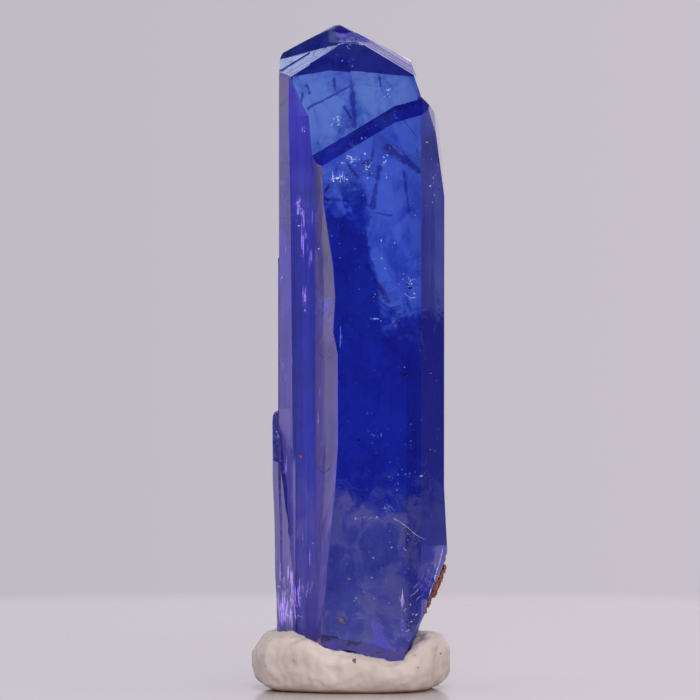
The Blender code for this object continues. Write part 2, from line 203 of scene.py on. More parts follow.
studio = {
    "floorRadius": 0.105,
    "floorDrop": 2e-5,
    "floorFade": 0.80,
    "floorColour": linear(208, 203, 205),
    "floorPolish": (0.09, 0.15),
    "floorGloss": 0.6,
    "backdropLeft": linear(191, 187, 196),
    "backdropRight": linear(200, 193, 203),
    "lensDimming": 0.16,
    "ceilingDimming": 0.10,
    "rightDimming": 0.09,
    "backGlow": 1.12,
    "belowGlow": 0.6,
    "cameraSide": -0.00006,
    "cameraDistance": 0.250,
    "cameraHeight": 0.02025,
    "viewWidth": 0.042,
    "photoWidth": 700.0,
    # lights: name, place, target, width, height, watts and colour. The two panels stand behind the
    # object, and show in its sloping end faces.
    "lights": [
        ("topSoftbox", (0.02, -0.02, 0.36), (0.0, 0.0, 0.02), 0.26, 0.26, 0.50, (1.0, 0.97, 0.98)),
        ("frontFill", (0.03, -0.34, 0.28), (0.0, 0.0, 0.02), 0.16, 0.10, 0.35, (1.0, 0.99, 0.96)),
        ("lowFill", (0.17, -0.27, 0.05), (0.0, 0.0, 0.004), 0.10, 0.08, 0.24, (1.0, 0.98, 0.95)),
        ("leftRoofPanel", (-0.156, 0.213, 0.272), (0.0, 0.0, 0.02), 0.05, 0.05, 0.014, (0.97, 0.97, 1.0)),
        ("rightRoofPanel", (0.070, 0.318, 0.150), (0.0, 0.0, 0.02), 0.09, 0.06, 0.018, (0.95, 0.93, 1.0)),
    ],
}


def makeStage():
    radius = studio["floorRadius"]
    bm = bmesh.new()
    bmesh.ops.create_circle(bm, cap_ends=True, segments=128, radius=radius)
    floor = linkedObject("floor", bm)
    floor.location.z = -studio["floorDrop"]
    look, tree, shader, place = newMaterial("paleGlossyFloor")
    cloud = noiseAt(tree, place, 18.0, 3.0)
    dress(tree, shader, studio["floorColour"], mapRange(tree, cloud, 0.3, 0.7, *studio["floorPolish"]))
    shader.inputs["Specular IOR Level"].default_value = studio["floorGloss"]
    # the far edge fades into the backdrop
    reach = addNode(tree, "ShaderNodeVectorMath", {"Vector": place}, operation="LENGTH").outputs["Value"]
    edge = mapRange(tree, reach, radius * studio["floorFade"], radius, 1.0, 0.0)
    tree.links.new(edge, shader.inputs["Alpha"])
    floor.data.materials.append(look)


def makeWorld():
    world = bpy.data.worlds.new("studioWorld")
    world.use_nodes = True
    tree = world.node_tree
    tree.nodes.clear()
    output = tree.nodes.new("ShaderNodeOutputWorld")
    direction = addNode(tree, "ShaderNodeTexCoord").outputs["Generated"]
    parts = addNode(tree, "ShaderNodeSeparateXYZ", {"Vector": direction})
    across = mapRange(tree, parts.outputs["X"], -0.1, 0.1)
    pale = mixColour(tree, across, studio["backdropLeft"], studio["backdropRight"])
    # the camera's side, the ceiling and the far right are dim, so that the faces don't turn milky
    towardsBack = mapRange(tree, parts.outputs["Y"], -0.95, -0.72, studio["lensDimming"], 1.0)
    ceiling = mapRange(tree, parts.outputs["Z"], 0.30, 0.44, 1.0, studio["ceilingDimming"])
    farRight = mapRange(tree, parts.outputs["X"], 0.45, 0.80, 1.0, studio["rightDimming"])
    below = mapRange(tree, parts.outputs["Z"], -0.5, 0.0, studio["belowGlow"], studio["backGlow"])
    dimmed = product(tree, towardsBack, below, ceiling, farRight)
    rays = addNode(tree, "ShaderNodeLightPath")
    plain = mathNode(tree, "MAXIMUM", rays.outputs["Is Camera Ray"], rays.outputs["Is Diffuse Ray"])
    strength = mixColour(tree, plain, dimmed, (1.0, 1.0, 1.0, 1.0))
    background = addNode(tree, "ShaderNodeBackground", {"Color": pale})
    tree.links.new(strength, background.inputs["Strength"])
    tree.links.new(background.outputs["Background"], output.inputs["Surface"])
    bpy.context.scene.world = world


def addLight(name, place, target, width, height, power, colour):
    light = bpy.data.lights.new(name, "AREA")
    light.shape = "RECTANGLE"
    light.size, light.size_y = width, height
    light.energy = power
    light.color = colour
    lamp = bpy.data.objects.new(name, light)
    lamp.location = place
    lamp.rotation_euler = (Vector(target) - Vector(place)).to_track_quat("-Z", "Y").to_euler()
    lamp.visible_camera = False
    bpy.context.scene.collection.objects.link(lamp)


def makeCamera():
    lens = bpy.data.cameras.new("photoCamera")
    lens.sensor_width = 36.0
    lens.lens = 36.0 * studio["cameraDistance"] / studio["viewWidth"]
    lens.clip_start, lens.clip_end = 0.01, 10.0
    camera = bpy.data.objects.new("photoCamera", lens)
    camera.location = (studio["cameraSide"], -studio["cameraDistance"], studio["cameraHeight"])
    camera.rotation_euler = (math.radians(90.0), 0.0, 0.0)
    bpy.context.scene.collection.objects.link(camera)
    bpy.context.scene.camera = camera
    bpy.context.scene.view_settings.view_transform = "Standard"


makeStage()
makeWorld()
for light in studio["lights"]:
    addLight(*light)
makeCamera()
print("stage, light and camera are ready")


# the crystal

crystalLook = {
    "ior": 1.69,
    "absorbColour": (0.10, 0.26, 0.985, 1.0),
    "absorbDensity": 310.0,
    # colour zones from the pale tip to the deep middle and the veiled foot, with heights in mm
    "tipTint": (0.66, 1.0, 1.0, 1.0),
    "deepTint": (0.032, 0.130, 0.52, 1.0),
    "footTint": (0.62, 0.54, 0.50, 1.0),
    "zoneBottom": 11.6,
    "zoneTop": 22.4,
    "zoneTopLeft": 29.0,
    "borderBlur": 0.9,
    "footBlur": 1.3,
    "borderWaver": 1.6,
    "slantFrom": 0.6,
    "slantTo": 1.9,
    # tints of the faces that differ
    "endTint": (0.030, 0.035, 0.52, 1.0),
    "rightTipTint": (1.0, 0.68, 0.48, 1.0),
    "rightDeepTint": (0.003, 0.016, 0.32, 1.0),
    "rightFootTint": (0.20, 0.22, 0.44, 1.0),
    "rightShade": (0.55, 0.6, 0.78, 1.0),
    "rightDeepens": (2.4, 5.2),
    "leftBreakTint": (0.07, 0.05, 0.56, 1.0),
    "rightSideTint": (0.42, 0.30, 0.60, 1.0),
    "baseTint": (0.22, 0.20, 0.75, 1.0),
    "leftTint": (0.80, 0.60, 1.0, 1.0),
    "bevelTint": (0.52, 0.36, 0.98, 1.0),
    "bevelTopTint": (0.08, 0.025, 0.60, 1.0),
    "bevelDeepens": (26.0, 32.0),
    "hemTint": (0.20, 0.17, 0.74, 1.0),
    "gableTint": (0.42, 0.43, 1.0, 1.0),
    "breakTint": (0.12, 0.11, 0.60, 1.0),
    "breakRimTint": (0.66, 0.56, 0.90, 1.0),
    "rimHeight": 8.4,
    "rimSlope": 0.26,
    "rimPales": (4.9, 5.5),
    "apexTint": (0.014, 0.009, 0.55, 1.0),
    "ledgeTint": (0.26, 0.23, 0.55, 1.0),
    "innerTint": (1.0, 0.74, 1.0, 1.0),
    "leftFootTint": (0.66, 0.56, 0.92, 1.0),
    # bands of the right roof face, from its front edge to the back, and where the pale one lies: the pale
    # bands are a painted reflection of the light panel, the thin dark lines between them painted shade
    "roofSpan": (-1.65, 3.05),
    "paleMiddle": 0.76,
    "paintedRoofBands": [
        (0.0, (0.70, 0.66, 0.92)), (0.06, (0.32, 0.30, 0.60)), (0.28, (0.40, 0.38, 0.66)),
        (0.33, (0.14, 0.12, 0.44)), (0.38, (0.46, 0.43, 0.70)), (0.56, (0.42, 0.39, 0.68)),
        (0.61, (0.16, 0.13, 0.46)), (0.66, (0.88, 0.86, 1.0)), (0.88, (0.88, 0.88, 1.0)),
        (0.93, (0.12, 0.05, 0.42)), (1.0, (0.12, 0.05, 0.42)),
    ],
    # shades that noises lay over the tints, from their low to their high values
    "clouds": [(0.39, (0.36, 0.44, 0.78)), (0.49, (0.86, 0.91, 0.99)), (0.58, (1.0, 1.0, 1.0))],
    "stripes": [(0.38, (0.34, 0.26, 0.66)), (0.50, (0.84, 0.80, 0.96)), (0.60, (1.0, 1.0, 1.0))],
    "crumbled": [(0.44, (0.16, 0.14, 0.52)), (0.58, (1.0, 1.0, 1.0))],
    "softClouds": [(0.36, (0.70, 0.72, 0.90)), (0.56, (1.0, 1.0, 1.0))],
    "footClouds": 0.45,
    "bevelClouds": 0.5,
    "stripeShare": 0.9,
    "veinShare": 0.34,
    # noises: scale, detail, roughness, distortion, and the scale along the crystal's height
    "noises": {
        "borders": (900.0, 4.0, 0.62, 0.8, 1.0),
        "clouds": (560.0, 4.0, 0.60, 0.8, 0.7),
        "veins": (520.0, 5.0, 0.6, 1.4, 1.0),
        "wobble": (1500.0, 3.0, 0.6, 0.0, 1.0),
        "stripes": (3600.0, 4.0, 0.66, 0.0, 0.02),
        "crumbled": (3000.0, 4.0, 0.65, 0.0, 1.0),
        "softClouds": (330.0, 3.0, 0.55, 0.6, 1.0),
        "hazePatches": (700.0, 3.0, 0.6, 0.0, 1.0),
        "growthLines": (4200.0, 3.0, 0.6, 0.0, 0.02),
        "dimples": (1100.0, 4.0, 0.6, 0.8, 0.6),
    },
    # dark streaks in the depth, painted shade where fractures and a step on the back look dark, as x and z of
    # both ends and the width, in mm
    "streaks": [
        (0.06, 36.45, 0.24, 33.69, 0.21), (-2.9, 35.7, -3.0, 35.1, 0.12), (1.7, 36.7, 1.8, 36.1, 0.07),
        (-0.4, 34.9, 0.0, 34.2, 0.12), (-2.58, 34.83, 0.18, 36.27, 0.10), (-2.64, 36.2, -2.5, 35.8, 0.15),
        (-1.02, 36.6, -0.96, 35.95, 0.10), (1.74, 31.2, 1.32, 28.9, 0.22), (2.22, 32.4, 4.10, 31.05, 0.26),
        (1.0, 25.3, 2.2, 23.2, 0.20), (3.2, 31.0, 3.5, 28.6, 0.09), (1.5, 28.5, 2.46, 28.3, 0.06),
        (-0.2, 31.5, 0.42, 30.6, 0.13), (-1.5, 29.3, -0.2, 29.2, 0.16), (3.5, 24.3, 4.1, 24.1, 0.05),
    ],
    "paintedStreakShade": (0.08, 0.07, 0.35, 1.0),
    # masks for faces and places: each multiplies masks above it with soft steps, which say what is
    # measured, where the step is 0 and where it is 1. x, y, z, height and fromMiddle are in mm.
    "masks": {
        "upright": [("outZ", 0.40, 0.25)],
        "leftSide": [("outX", -0.45, -0.75), "upright", ("outY", 0.7, 0.5)],
        "innerLeft": ["leftSide", ("x", -2.15, -2.05)],
        "bevel": [("outX", -0.05, -0.14), ("outX", -0.66, -0.56), "upright", ("outY", -0.5, -0.7)],
        "rightBevel": [("outX", 0.3, 0.5), ("outY", -0.2, -0.4), "upright"],
        "bladeFace": [("x", -3.56, -3.64), ("z", 16.9, 16.7), ("outX", -0.40, -0.48)],
        "hem": [("height", 4.2, 2.2), ("outY", -0.5, -0.9)],
        "bladeEnd": [("outZ", 0.55, 0.65), ("y", -1.60, -1.68), ("z", 36.3, 36.0)],
        "rightEnd": [("outX", 0.5, 0.65), ("outZ", 0.08, 0.14), ("z", 35.6, 35.4)],
        "gable": [("outZ", 0.45, 0.55), "fromInside"],
        "broken": [("outZ", -0.10, -0.25)],
        "scoop": [("x", 3.9, 4.1), ("z", 8.75, 8.6), ("outY", -0.97, -0.9)],
        "base": [("outZ", -0.55, -0.7)],
        "wholeRoof": [("outX", 0.30, 0.42), ("outZ", 0.70, 0.78)],
        "rightRoof": ["wholeRoof", ("x", 0.25, 0.75)],
        "ledges": [("outZ", 0.82, 0.76), ("y", -1.62, -1.58), ("x", 0.4, 0.8), ("z", 36.6, 36.9),
                   ("outY", 0.0, -0.1)],
        "rightSide": [("outX", 0.84, 0.92), "upright"],
        "leftBreak": [("outX", -0.54, -0.48), ("x", -3.62, -3.72), ("z", 16.7, 16.6), ("outY", 0.3, 0.1)],
        "apex": [("z", 38.55, 38.75), ("fromMiddle", 1.5, 0.7)],
        "leftFoot": [("x", -3.28, -3.36), ("z", 14.2, 13.2)],
        "back": ["rear", "upright"],
    },
    # plain tints by mask, each laid over the ones before it
    "faceTints": [
        ("leftSide", "leftTint"), ("bladeFace", "leftTint"), ("gable", "gableTint"), ("bladeEnd", "endTint"),
        ("leftFoot", "leftFootTint"), ("leftBreak", "leftBreakTint"), ("base", "baseTint"),
        ("hem", "hemTint"), ("ledges", "ledgeTint"), ("apex", "apexTint"), ("innerLeft", "innerTint"),
    ],
    # how much light passes, for the clean faces and by mask
    "clarity": 0.985,
    "footClarity": 0.92,
    "faceClarities": {
        "leftSide": 0.86, "gable": 0.05, "broken": 0.84, "bladeEnd": 0.80, "base": 0.45, "rightRoof": 0.28,
        "leftBreak": 0.70, "hem": 0.68, "bladeFace": 0.74, "leftFoot": 0.74, "ledges": 0.40, "apex": 0.60,
    },
    # roughness, for clean faces, their hazy patches and by mask
    "polish": 0.02,
    "haze": 0.10,
    "faceHazes": {
        "back": 0.34, "dullBands": 0.50, "bevel": 0.42, "rightBevel": 0.42, "broken": 0.50, "leftBreak": 0.50,
        "leftSide": 0.16, "bladeFace": 0.42, "base": 0.80, "ledges": 0.50, "apex": 0.45,
    },
    "dimpleDepth": 0.75,
    "frontRipple": 0.012,
    "backRipple": 0.06,
    "edgeWidth": 0.022,
}


def crystalNoise(tree, place, name):
    scale, detail, roughness, distortion, lengthwise = crystalLook["noises"][name]
    if lengthwise != 1.0:
        place = stretched(tree, place, (1.0, 1.0, lengthwise))
    return noiseAt(tree, place, scale, detail, roughness, distortion)


def noiseShade(tree, place, name):
    return ramp(tree, crystalNoise(tree, place, name), crystalLook[name])


def crystalMeasures(tree, place):
    # what the masks go by, each with its unit: places, and the way a face looks, seen from outside
    geometry = addNode(tree, "ShaderNodeNewGeometry").outputs
    spot = addNode(tree, "ShaderNodeSeparateXYZ", {"Vector": place}).outputs
    fromInside = geometry["Backfacing"]
    side = mathNode(tree, "SUBTRACT", 1.0, product(tree, fromInside, 2.0))
    outward = scaled(tree, geometry["True Normal"], side)
    facing = addNode(tree, "ShaderNodeSeparateXYZ", {"Vector": outward}).outputs
    waver = crystalLook["borderWaver"]
    waver = mapRange(tree, crystalNoise(tree, place, "borders"), 0.3, 0.7, -waver, waver)
    height = mathNode(tree, "ADD", mathNode(tree, "DIVIDE", spot["Z"], mm), waver)
    measures = {"height": (height, 1.0), "fromMiddle": (mathNode(tree, "ABSOLUTE", spot["X"]), mm)}
    for axis in "XYZ":
        measures[axis.lower()] = (spot[axis], mm)
        measures["out" + axis] = (facing[axis], 1.0)
    return measures, fromInside


def softStep(tree, measures, kind, start, end):
    # 0 where the measure is at its start, and 1 at its end
    socket, unit = measures[kind]
    return mapRange(tree, socket, start * unit, end * unit)


def addMasks(tree, measures, masks):
    for name, factors in crystalLook["masks"].items():
        parts = [masks[factor] if isinstance(factor, str) else softStep(tree, measures, *factor)
                 for factor in factors]
        masks[name] = product(tree, *parts)
    for name, other in (("bladeEnd", "rightEnd"), ("broken", "scoop")):
        masks[name] = mathNode(tree, "MAXIMUM", masks[name], masks[other])
    apexFace = mathNode(tree, "SUBTRACT", masks["wholeRoof"], masks["rightRoof"])
    masks["apex"] = mathNode(tree, "MAXIMUM", masks["apex"], apexFace)


def streakMask(tree, flat, streak, wobble):
    # 1 within the width of the line between its ends, with a soft ragged border
    x0, z0, x1, z1, width = (value * mm for value in streak)
    across = vectorMath(tree, "SUBTRACT", flat, (x0, z0, 0.0))["Vector"]
    along = Vector((x1 - x0, z1 - z0, 0.0))
    share = vectorMath(tree, "DOT_PRODUCT", across, tuple(along / along.length_squared))["Value"]
    share = mathNode(tree, "MINIMUM", mathNode(tree, "MAXIMUM", share, 0.0), 1.0)
    reach = scaled(tree, tuple(along), share)
    gap = vectorMath(tree, "DISTANCE", across, reach)["Value"]
    ragged = mapRange(tree, wobble, 0.3, 0.7, -0.55 * width, 0.55 * width, False)
    return mapRange(tree, mathNode(tree, "ADD", gap, ragged), width, 0.35 * width)


def depthShadeStreaks(tree, place, measures, mottle, wobble, rear):
    # painted shade: dark streaks in the depth, where fractures and a step look dark, drawn on the back, and
    # fine veins in some places only
    vein = mathNode(tree, "SUBTRACT", crystalNoise(tree, place, "veins"), 0.5)
    vein = mapRange(tree, mathNode(tree, "ABSOLUTE", vein), 0.030, 0.004)
    vein = product(tree, vein, mapRange(tree, mottle, 0.50, 0.44))
    flat = addNode(tree, "ShaderNodeCombineXYZ", {"X": measures["x"][0], "Y": measures["z"][0]}).outputs[0]
    streaks = None
    for streak in crystalLook["streaks"]:
        one = streakMask(tree, flat, streak, wobble)
        streaks = one if streaks is None else mathNode(tree, "MAXIMUM", streaks, one)
    streaks = product(tree, streaks, rear)
    return mathNode(tree, "MAXIMUM", streaks, product(tree, vein, crystalLook["veinShare"]))


def deepened(tree, mask, tint, shade):
    # the tint, multiplied by the shade where the mask is 1
    return mixColour(tree, mask, tint, mixColour(tree, 1.0, tint, shade, "MULTIPLY"))


def zoneTint(tree, measures, masks):
    # the border of the deep zone drops from left to right
    height = measures["height"][0]
    left, right, x = crystalLook["slantFrom"] * mm, crystalLook["slantTo"] * mm, measures["x"][0]
    slant = mapRange(tree, x, left, right, crystalLook["zoneTopLeft"], crystalLook["zoneTop"])
    blur, bottom, spread = (crystalLook[key] for key in ("borderBlur", "zoneBottom", "footBlur"))
    masks["tip"] = mapRange(tree, mathNode(tree, "SUBTRACT", height, slant), -blur, blur)
    masks["foot"] = mapRange(tree, height, bottom + spread, bottom - spread)
    tint = mixColour(tree, masks["tip"], crystalLook["deepTint"], crystalLook["tipTint"])
    return mixColour(tree, masks["foot"], tint, crystalLook["footTint"])


def bevelTint(tree, place, measures, clouds):
    # violet and finely striped, deeper at the top
    top = softStep(tree, measures, "z", *crystalLook["bevelDeepens"])
    tint = mixColour(tree, top, crystalLook["bevelTint"], crystalLook["bevelTopTint"])
    tint = mixColour(tree, crystalLook["stripeShare"], tint, noiseShade(tree, place, "stripes"), "MULTIPLY")
    return mixColour(tree, crystalLook["bevelClouds"], tint, clouds, "MULTIPLY")


def breakTint(tree, measures):
    # the break on the lower right is pale along its slanting outer rim
    above = mathNode(tree, "SUBTRACT", measures["height"][0], crystalLook["rimHeight"])
    slope = product(tree, above, crystalLook["rimSlope"])
    rim = mathNode(tree, "SUBTRACT", mathNode(tree, "DIVIDE", measures["x"][0], mm), slope)
    rim = mapRange(tree, rim, *crystalLook["rimPales"])
    return mixColour(tree, rim, crystalLook["breakTint"], crystalLook["breakRimTint"])


def crystalTint(tree, place, measures, masks, mottle):
    tint = zoneTint(tree, measures, masks)
    clouds = ramp(tree, mottle, crystalLook["clouds"])
    cloudShare = mapRange(tree, masks["foot"], 0.0, 1.0, 1.0, crystalLook["footClouds"], False)
    tint = mixColour(tree, cloudShare, tint, clouds, "MULTIPLY")
    wobble = crystalNoise(tree, place, "wobble")
    masks["rear"] = softStep(tree, measures, "outY", 0.2, 0.6)
    streaks = depthShadeStreaks(tree, place, measures, mottle, wobble, masks["rear"])
    # the streaks' painted shade and the fine veins darken the tint
    tint = deepened(tree, streaks, tint, crystalLook["paintedStreakShade"])
    right = softStep(tree, measures, "x", *crystalLook["rightDeepens"])
    tint = deepened(tree, right, tint, crystalLook["rightShade"])
    addMasks(tree, measures, masks)
    # the roof's bands, painted reflection and painted shade, where the pale one is smooth and the others are
    # dull
    front, rear = crystalLook["roofSpan"]
    bands = mapRange(tree, measures["y"][0], front * mm, rear * mm, 0.0, 1.0, False)
    bands = mathNode(tree, "ADD", bands, mapRange(tree, wobble, 0.3, 0.7, -0.02, 0.02, False))
    fromPale = mathNode(tree, "ABSOLUTE", mathNode(tree, "SUBTRACT", bands, crystalLook["paleMiddle"]))
    paleBand = mapRange(tree, fromPale, 0.17, 0.14)
    masks["dullBands"] = product(tree, masks["rightRoof"], mathNode(tree, "SUBTRACT", 1.0, paleBand))
    rightTint = mixColour(tree, masks["tip"], crystalLook["rightDeepTint"], crystalLook["rightTipTint"])
    rightTint = mixColour(tree, masks["foot"], rightTint, crystalLook["rightFootTint"])
    tint = mixColour(tree, masks["rightBevel"], tint, rightTint)
    rightTop = product(tree, masks["rightSide"], masks["tip"])
    tint = mixColour(tree, rightTop, tint, crystalLook["rightSideTint"])
    # painted reflection in the pale bands and painted shade in the thin dark lines of the right roof
    tint = mixColour(tree, masks["rightRoof"], tint, ramp(tree, bands, crystalLook["paintedRoofBands"]))
    tint = mixColour(tree, masks["bevel"], tint, bevelTint(tree, place, measures, clouds))
    tint = mixColour(tree, masks["broken"], tint, breakTint(tree, measures))
    for mask, colour in crystalLook["faceTints"]:
        tint = mixColour(tree, masks[mask], tint, crystalLook[colour])
    tint = deepened(tree, masks["leftBreak"], tint, noiseShade(tree, place, "crumbled"))
    return mixColour(tree, 1.0, tint, noiseShade(tree, place, "softClouds"), "MULTIPLY")


def crystalClarity(tree, masks, mottle):
    # the foot is veiled in clouds, and some faces are milky
    clear = crystalLook["clarity"]
    veils = product(tree, masks["foot"], mapRange(tree, mottle, 0.45, 0.58))
    clarity = mapRange(tree, veils, 0.0, 1.0, clear, crystalLook["footClarity"], False)
    for mask, level in crystalLook["faceClarities"].items():
        milky = mapRange(tree, masks[mask], 0.0, 1.0, clear, level, False)
        clarity = mathNode(tree, "MINIMUM", clarity, milky)
    return clarity


def crystalHaze(tree, place, masks):
    # clean growth faces with hazy patches, a duller back and frosted breaks
    patches = crystalNoise(tree, place, "hazePatches")
    haze = mapRange(tree, patches, 0.50, 0.75, crystalLook["polish"], crystalLook["haze"])
    for mask, level in crystalLook["faceHazes"].items():
        haze = mathNode(tree, "MAXIMUM", haze, product(tree, masks[mask], level))
    return haze


def crystalRelief(tree, shader, place, measures, masks):
    # growth lines run along the narrow faces, and the back is dimpled
    lines = crystalNoise(tree, place, "growthLines")
    sideways = mapRange(tree, measures["outX"][0], -0.15, -0.5, 0.004, 0.018)
    lines = product(tree, lines, sideways, masks["upright"])
    ripple = mapRange(tree, masks["back"], 0.0, 1.0, crystalLook["frontRipple"], crystalLook["backRipple"])
    dimples = product(tree, crystalNoise(tree, place, "dimples"), ripple)
    addRelief(tree, shader, mathNode(tree, "ADD", lines, dimples), 1.0, crystalLook["dimpleDepth"])


def crystalMaterial():
    look, tree, shader, place = newMaterial("tanzanite")
    measures, fromInside = crystalMeasures(tree, place)
    masks = {"fromInside": fromInside}
    mottle = crystalNoise(tree, place, "clouds")
    inside = addNode(
        tree, "ShaderNodeVolumeAbsorption",
        {"Color": crystalLook["absorbColour"], "Density": crystalLook["absorbDensity"]},
    )
    tree.links.new(inside.outputs["Volume"], tree.get_output_node("ALL").inputs["Volume"])
    tint = crystalTint(tree, place, measures, masks, mottle)
    dress(tree, shader, tint, crystalHaze(tree, place, masks))
    tree.links.new(crystalClarity(tree, masks, mottle), shader.inputs["Transmission Weight"])
    crystalRelief(tree, shader, place, measures, masks)
    shader.inputs["IOR"].default_value = crystalLook["ior"]
    return look


def makeCrystal():
    bm = mergedCopy("tanzanite_crystal")
    bmesh.ops.dissolve_limit(
        bm, angle_limit=math.radians(0.6), verts=bm.verts[:], edges=bm.edges[:], use_dissolve_boundaries=False
    )
    crystal = newPiece("crystal", bm, crystalMaterial())
    bevel = crystal.modifiers.new("wornEdges", "BEVEL")
    bevel.width = crystalLook["edgeWidth"] * mm
    bevel.segments = 1
    bevel.limit_method = "ANGLE"
    bevel.angle_limit = math.radians(18.0)
    appliedMesh(crystal)
    finish(crystal)
    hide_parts("tanzanite_crystal")
    return crystal


crystal = makeCrystal()
crystalSurface = BVHTree.FromPolygons(
    [v.co for v in crystal.data.vertices], [p.vertices for p in crystal.data.polygons]
)
print("crystal:", len(crystal.data.polygons), "faces")


# what is inside the crystal and on its faces

def photoRay(px, py):
    # the camera's line of sight through a pixel of the photograph
    eye = Vector((studio["cameraSide"], -studio["cameraDistance"], studio["cameraHeight"]))
    perPixel = studio["viewWidth"] / studio["photoWidth"]
    middle = studio["photoWidth"] / 2.0
    through = Vector(((px - middle) * perPixel, studio["cameraDistance"], (middle - py) * perPixel))
    return eye, through.normalized()


def placeInside(px, py, depth):
    # the point that lies the given depth in mm behind the crystal's surface at a pixel
    eye, along = photoRay(px, py)
    hit, normal, index, distance = crystalSurface.ray_cast(eye, along)
    return None if hit is None else hit + along * depth * mm


def isInside(spot, margin):
    # whether a point lies at least the margin in mm under the crystal's surface
    nearest, normal, index, distance = crystalSurface.find_nearest(spot)
    return (spot - nearest).dot(normal) < -margin * mm


def scatterTree(name, material, onFaces=False):
    # small flakes on the points of a mesh, or scattered over its faces
    tree = bpy.data.node_groups.new(name, "GeometryNodeTree")
    face = tree.interface
    face.new_socket("Geometry", in_out="INPUT", socket_type="NodeSocketGeometry")
    for label in ("Smallest", "Largest", "Thickness", "Length", "Tumble", "Density"):
        face.new_socket(label, in_out="INPUT", socket_type="NodeSocketFloat")
    face.new_socket("Seed", in_out="INPUT", socket_type="NodeSocketInt")
    face.new_socket("Geometry", in_out="OUTPUT", socket_type="NodeSocketGeometry")
    start = tree.nodes.new("NodeGroupInput")
    end = tree.nodes.new("NodeGroupOutput")
    flake = addNode(tree, "GeometryNodeMeshIcoSphere", {"Radius": 1.0, "Subdivisions": 1})
    points = start.outputs["Geometry"]
    if onFaces:
        spread = addNode(
            tree, "GeometryNodeDistributePointsOnFaces",
            {"Mesh": points, "Density": start.outputs["Density"], "Seed": start.outputs["Seed"]},
        )
        points = spread.outputs["Points"]
    size = addNode(tree, "FunctionNodeRandomValue", {"Seed": start.outputs["Seed"]}, data_type="FLOAT")
    for socket in size.inputs:
        if socket.type == "VALUE" and socket.name in ("Min", "Max"):
            socket.default_value = float(socket.name == "Max")
    # squared, so that most flakes are small
    skew = mathNode(tree, "POWER", size.outputs[1], 2.0)
    scale = addNode(
        tree, "ShaderNodeMapRange",
        {"Value": skew, "To Min": start.outputs["Smallest"], "To Max": start.outputs["Largest"]},
    ).outputs[0]
    thick = product(tree, scale, start.outputs["Thickness"])
    long = product(tree, scale, start.outputs["Length"])
    shape = addNode(tree, "ShaderNodeCombineXYZ", {"X": scale, "Y": thick, "Z": long})
    turn = addNode(tree, "FunctionNodeRandomValue", {"Seed": start.outputs["Seed"]}, data_type="FLOAT_VECTOR")
    turn.inputs[0].default_value = (-3.1, -3.1, -3.1)
    turn.inputs[1].default_value = (3.1, 3.1, 3.1)
    tumble = scaled(tree, turn.outputs[0], start.outputs["Tumble"])
    placed = addNode(
        tree, "GeometryNodeInstanceOnPoints",
        {"Points": points, "Instance": flake.outputs["Mesh"], "Scale": shape.outputs[0]},
    )
    tree.links.new(tumble, placed.inputs["Rotation"])
    real = addNode(tree, "GeometryNodeRealizeInstances", {"Geometry": placed.outputs["Instances"]})
    dressed = addNode(
        tree, "GeometryNodeSetMaterial", {"Geometry": real.outputs["Geometry"], "Material": material}
    )
    tree.links.new(dressed.outputs["Geometry"], end.inputs["Geometry"])
    return tree


def scattered(name, bm, tree, material, kind, seed, density=0.0):
    smallest, largest, thickness, length, tumble = insideLook["flakes"][kind]
    values = {"Smallest": smallest * mm, "Largest": largest * mm, "Thickness": thickness, "Length": length,
              "Tumble": tumble, "Density": density, "Seed": seed}
    piece = linkedObject(name, bm)
    modifier = piece.modifiers.new("scatter", "NODES")
    modifier.node_group = tree
    for item in tree.interface.items_tree:
        if item.in_out == "INPUT" and item.name in values:
            modifier[item.identifier] = values[item.name]
    appliedMesh(piece)
    piece.data.materials.clear()
    piece.data.materials.append(material)
    finish(piece)
    print(name + ":", len(piece.data.polygons), "faces")


def sparkMaterial(name, colour, glow, roughness=0.35):
    look, tree, shader, place = newMaterial(name)
    glint = noiseAt(tree, place, 9000.0, 2.0)
    dark = tuple(0.55 * value for value in colour[:3])
    shade = ramp(tree, glint, [(0.35, dark), (0.6, colour)])
    dress(tree, shader, shade, roughness)
    # painted glow: where the glow is above 0, the flake gives off light in its own colour
    tree.links.new(shade, shader.inputs["Emission Color"])
    shader.inputs["Emission Strength"].default_value = glow
    return look


